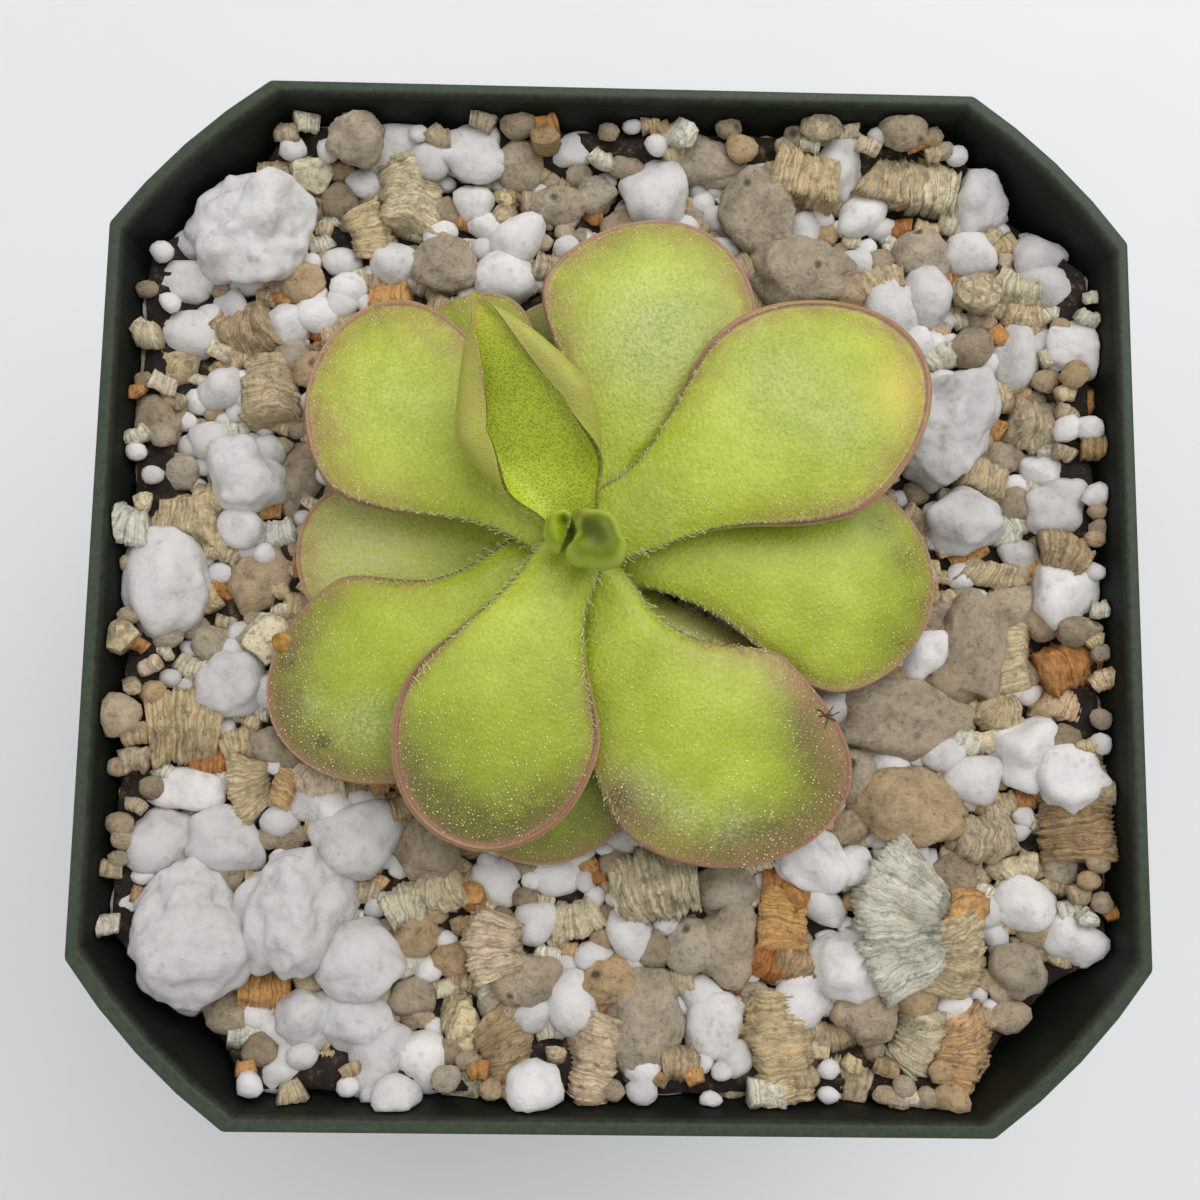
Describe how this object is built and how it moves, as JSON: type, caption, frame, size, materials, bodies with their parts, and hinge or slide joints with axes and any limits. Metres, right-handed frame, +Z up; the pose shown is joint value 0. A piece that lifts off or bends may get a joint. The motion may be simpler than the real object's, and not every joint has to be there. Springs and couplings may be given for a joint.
{
  "type": "potted butterwort",
  "caption": "Mexican butterwort: a flat rosette of sticky spoon-shaped leaves round a young rolled leaf and buds, in a square nursery pot of coarse mineral mix.",
  "frame": {"origin": "centre of the pot's footprint, on the surface that it stands on", "axes": "+Z up out of the pot; +X and +Y square to the pot's flat sides, +Y towards the young leaf"},
  "size_m": [0.076, 0.076, 0.0771],
  "materials": {
    "pot": "satin moulded dark green",
    "mix": "rough grains of perlite, vermiculite and fired clay",
    "stem": "fibrous brown-green stem",
    "young_leaf": "fleshy leaf with sticky droplets",
    "leaf": "fleshy yellow-green leaf with sticky hairs and a pinkish margin",
    "bud": "smooth leaf underside"
  },
  "bodies": {
    "root": {"pot": "pot", "growing_mix": "mix", "stem": "stem", "young_leaf": "young_leaf", "leaf_01": "leaf", "leaf_02": "leaf", "leaf_03": "leaf", "leaf_04": "leaf", "leaf_05": "leaf", "leaf_06": "leaf", "leaf_07": "leaf", "leaf_08": "leaf", "leaf_09": "leaf", "leaf_11": "leaf", "leaf_12": "leaf", "leaf_13": "leaf", "bud_large": "bud", "bud_small": "bud"}
  },
  "joints": []
}
